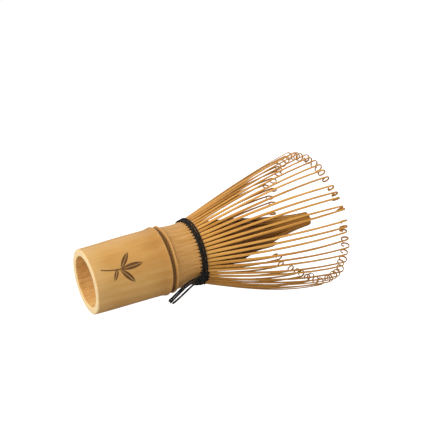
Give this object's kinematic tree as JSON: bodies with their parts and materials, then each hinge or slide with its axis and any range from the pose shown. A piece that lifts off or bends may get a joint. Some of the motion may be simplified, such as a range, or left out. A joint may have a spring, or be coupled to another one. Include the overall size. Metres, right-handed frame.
{
  "type": "bamboo tea whisk",
  "caption": "Hollow bamboo handle with a node, split above it into a flaring ring of curled outer tines and a gathered inner cone, laced with dark knotted thread.",
  "frame": {"origin": "centre of the annular end face of the handle's open end", "axes": "+Z along the culm from the handle's open end towards the tines; +Y is the side the thread's knot is on; the whisk stands upright on the end face"},
  "size_m": [0.0604, 0.061, 0.1087],
  "materials": {
    "culm_bamboo": "satin, waxy bamboo skin",
    "shaved_bamboo": "satin, scraped bamboo with fine fibres",
    "inner_wall_bamboo": "matt inner culm wall",
    "outer_tine_bamboo": "satin split bamboo",
    "inner_tine_bamboo": "matt split bamboo, darker",
    "thread": "twisted cotton thread, matt"
  },
  "bodies": {
    "whisk": {"handle_tube": "culm_bamboo", "node_ring": "culm_bamboo", "node_diaphragm": "inner_wall_bamboo", "root_collar": "shaved_bamboo", "inner_tines_01": "inner_tine_bamboo", "inner_tines_02": "inner_tine_bamboo", "inner_tines_03": "inner_tine_bamboo", "inner_tines_04": "inner_tine_bamboo", "inner_tines_05": "inner_tine_bamboo", "inner_tines_06": "inner_tine_bamboo", "inner_tines_07": "inner_tine_bamboo", "inner_tines_08": "inner_tine_bamboo", "inner_tines_09": "inner_tine_bamboo", "inner_tines_10": "inner_tine_bamboo", "inner_tines_11": "inner_tine_bamboo", "inner_tines_12": "inner_tine_bamboo", "inner_tines_13": "inner_tine_bamboo", "inner_tines_14": "inner_tine_bamboo", "inner_tines_15": "inner_tine_bamboo", "inner_tines_16": "inner_tine_bamboo", "inner_tines_17": "inner_tine_bamboo", "inner_tines_18": "inner_tine_bamboo", "thread_turn_1": "thread", "thread_turn_2": "thread", "thread_turn_3": "thread", "thread_back_turn_1": "thread", "thread_back_turn_2": "thread", "thread_knot": "thread", "thread_tail_1": "thread", "thread_tail_2": "thread", "thread_tail_3": "thread"},
    "outer_group_01": {"outer_tines_01": "outer_tine_bamboo"},
    "outer_group_02": {"outer_tines_02": "outer_tine_bamboo"},
    "outer_group_03": {"outer_tines_03": "outer_tine_bamboo"},
    "outer_group_04": {"outer_tines_04": "outer_tine_bamboo"},
    "outer_group_05": {"outer_tines_05": "outer_tine_bamboo"},
    "outer_group_06": {"outer_tines_06": "outer_tine_bamboo"},
    "outer_group_07": {"outer_tines_07": "outer_tine_bamboo"},
    "outer_group_08": {"outer_tines_08": "outer_tine_bamboo"},
    "outer_group_09": {"outer_tines_09": "outer_tine_bamboo"},
    "outer_group_10": {"outer_tines_10": "outer_tine_bamboo"},
    "outer_group_11": {"outer_tines_11": "outer_tine_bamboo"},
    "outer_group_12": {"outer_tines_12": "outer_tine_bamboo"},
    "outer_group_13": {"outer_tines_13": "outer_tine_bamboo"},
    "outer_group_14": {"outer_tines_14": "outer_tine_bamboo"},
    "outer_group_15": {"outer_tines_15": "outer_tine_bamboo"},
    "outer_group_16": {"outer_tines_16": "outer_tine_bamboo"},
    "outer_group_17": {"outer_tines_17": "outer_tine_bamboo"},
    "outer_group_18": {"outer_tines_18": "outer_tine_bamboo"}
  },
  "joints": [
    {"name": "outer_flex_01", "type": "hinge", "parent": "whisk", "child": "outer_group_01", "pos_m": [0.0143, 0, 0.04997], "axis": [0, 1, 0], "range_deg": [-6, 5], "stiffness_Nm_per_rad": 0.0063},
    {"name": "outer_flex_02", "type": "hinge", "parent": "whisk", "child": "outer_group_02", "pos_m": [0.01344, 0.00489, 0.04997], "axis": [-0.342, 0.9397, 0], "range_deg": [-6, 5], "stiffness_Nm_per_rad": 0.0063},
    {"name": "outer_flex_03", "type": "hinge", "parent": "whisk", "child": "outer_group_03", "pos_m": [0.01095, 0.00919, 0.04997], "axis": [-0.6428, 0.766, 0], "range_deg": [-6, 5], "stiffness_Nm_per_rad": 0.0063},
    {"name": "outer_flex_04", "type": "hinge", "parent": "whisk", "child": "outer_group_04", "pos_m": [0.00715, 0.01238, 0.04997], "axis": [-0.866, 0.5, 0], "range_deg": [-6, 5], "stiffness_Nm_per_rad": 0.0063},
    {"name": "outer_flex_05", "type": "hinge", "parent": "whisk", "child": "outer_group_05", "pos_m": [0.00248, 0.01408, 0.04997], "axis": [-0.9848, 0.1736, 0], "range_deg": [-6, 5], "stiffness_Nm_per_rad": 0.0063},
    {"name": "outer_flex_06", "type": "hinge", "parent": "whisk", "child": "outer_group_06", "pos_m": [-0.00248, 0.01408, 0.04997], "axis": [-0.9848, -0.1736, 0], "range_deg": [-6, 5], "stiffness_Nm_per_rad": 0.0063},
    {"name": "outer_flex_07", "type": "hinge", "parent": "whisk", "child": "outer_group_07", "pos_m": [-0.00715, 0.01238, 0.04997], "axis": [-0.866, -0.5, 0], "range_deg": [-6, 5], "stiffness_Nm_per_rad": 0.0063},
    {"name": "outer_flex_08", "type": "hinge", "parent": "whisk", "child": "outer_group_08", "pos_m": [-0.01095, 0.00919, 0.04997], "axis": [-0.6428, -0.766, 0], "range_deg": [-6, 5], "stiffness_Nm_per_rad": 0.0063},
    {"name": "outer_flex_09", "type": "hinge", "parent": "whisk", "child": "outer_group_09", "pos_m": [-0.01344, 0.00489, 0.04997], "axis": [-0.342, -0.9397, 0], "range_deg": [-6, 5], "stiffness_Nm_per_rad": 0.0063},
    {"name": "outer_flex_10", "type": "hinge", "parent": "whisk", "child": "outer_group_10", "pos_m": [-0.0143, 0, 0.04997], "axis": [0, -1, 0], "range_deg": [-6, 5], "stiffness_Nm_per_rad": 0.0063},
    {"name": "outer_flex_11", "type": "hinge", "parent": "whisk", "child": "outer_group_11", "pos_m": [-0.01344, -0.00489, 0.04997], "axis": [0.342, -0.9397, 0], "range_deg": [-6, 5], "stiffness_Nm_per_rad": 0.0063},
    {"name": "outer_flex_12", "type": "hinge", "parent": "whisk", "child": "outer_group_12", "pos_m": [-0.01095, -0.00919, 0.04997], "axis": [0.6428, -0.766, 0], "range_deg": [-6, 5], "stiffness_Nm_per_rad": 0.0063},
    {"name": "outer_flex_13", "type": "hinge", "parent": "whisk", "child": "outer_group_13", "pos_m": [-0.00715, -0.01238, 0.04997], "axis": [0.866, -0.5, 0], "range_deg": [-6, 5], "stiffness_Nm_per_rad": 0.0063},
    {"name": "outer_flex_14", "type": "hinge", "parent": "whisk", "child": "outer_group_14", "pos_m": [-0.00248, -0.01408, 0.04997], "axis": [0.9848, -0.1736, 0], "range_deg": [-6, 5], "stiffness_Nm_per_rad": 0.0063},
    {"name": "outer_flex_15", "type": "hinge", "parent": "whisk", "child": "outer_group_15", "pos_m": [0.00248, -0.01408, 0.04997], "axis": [0.9848, 0.1736, 0], "range_deg": [-6, 5], "stiffness_Nm_per_rad": 0.0063},
    {"name": "outer_flex_16", "type": "hinge", "parent": "whisk", "child": "outer_group_16", "pos_m": [0.00715, -0.01238, 0.04997], "axis": [0.866, 0.5, 0], "range_deg": [-6, 5], "stiffness_Nm_per_rad": 0.0063},
    {"name": "outer_flex_17", "type": "hinge", "parent": "whisk", "child": "outer_group_17", "pos_m": [0.01095, -0.00919, 0.04997], "axis": [0.6428, 0.766, 0], "range_deg": [-6, 5], "stiffness_Nm_per_rad": 0.0063},
    {"name": "outer_flex_18", "type": "hinge", "parent": "whisk", "child": "outer_group_18", "pos_m": [0.01344, -0.00489, 0.04997], "axis": [0.342, 0.9397, 0], "range_deg": [-6, 5], "stiffness_Nm_per_rad": 0.0063}
  ]
}
